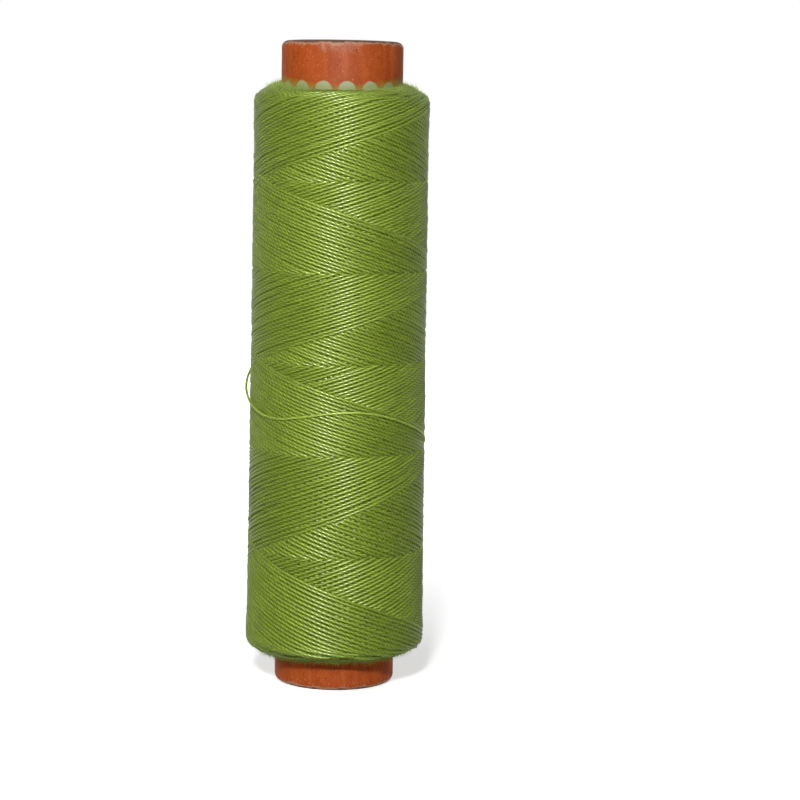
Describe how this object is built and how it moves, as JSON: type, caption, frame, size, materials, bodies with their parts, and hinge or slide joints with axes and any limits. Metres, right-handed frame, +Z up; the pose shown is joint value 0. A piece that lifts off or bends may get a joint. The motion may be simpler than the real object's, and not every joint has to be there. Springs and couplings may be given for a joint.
{
  "type": "thread spool",
  "caption": "Thread cross-wound on a straight paper tube that stands bare at both ends, with an open bore for a spindle.",
  "frame": {"origin": "centre of the bore at the lower end of the tube, on the plane that the spool stands on", "axes": "+Z runs up the tube's bore; the slack turn bows out on the -X side and crosses the -Y side"},
  "size_m": [0.0271, 0.026, 0.089],
  "materials": {
    "kraft_liner": "unbleached kraft paper, smooth and slightly sheened",
    "tube_board": "grey-brown tube board, cut and fibrous at its ends",
    "wrap_paper": "orange coated paper, satin, scuffed pale at the rims",
    "thread": "plied yellow-green sewing thread with a soft lustre"
  },
  "bodies": {
    "root": {"liner_ply": "kraft_liner", "inner_board_ply": "tube_board", "second_board_ply": "tube_board", "third_board_ply": "tube_board", "outer_board_ply": "tube_board", "outer_wrap": "wrap_paper", "thread_body": "thread", "surface_turns": "thread", "slack_turn": "thread"}
  },
  "joints": []
}
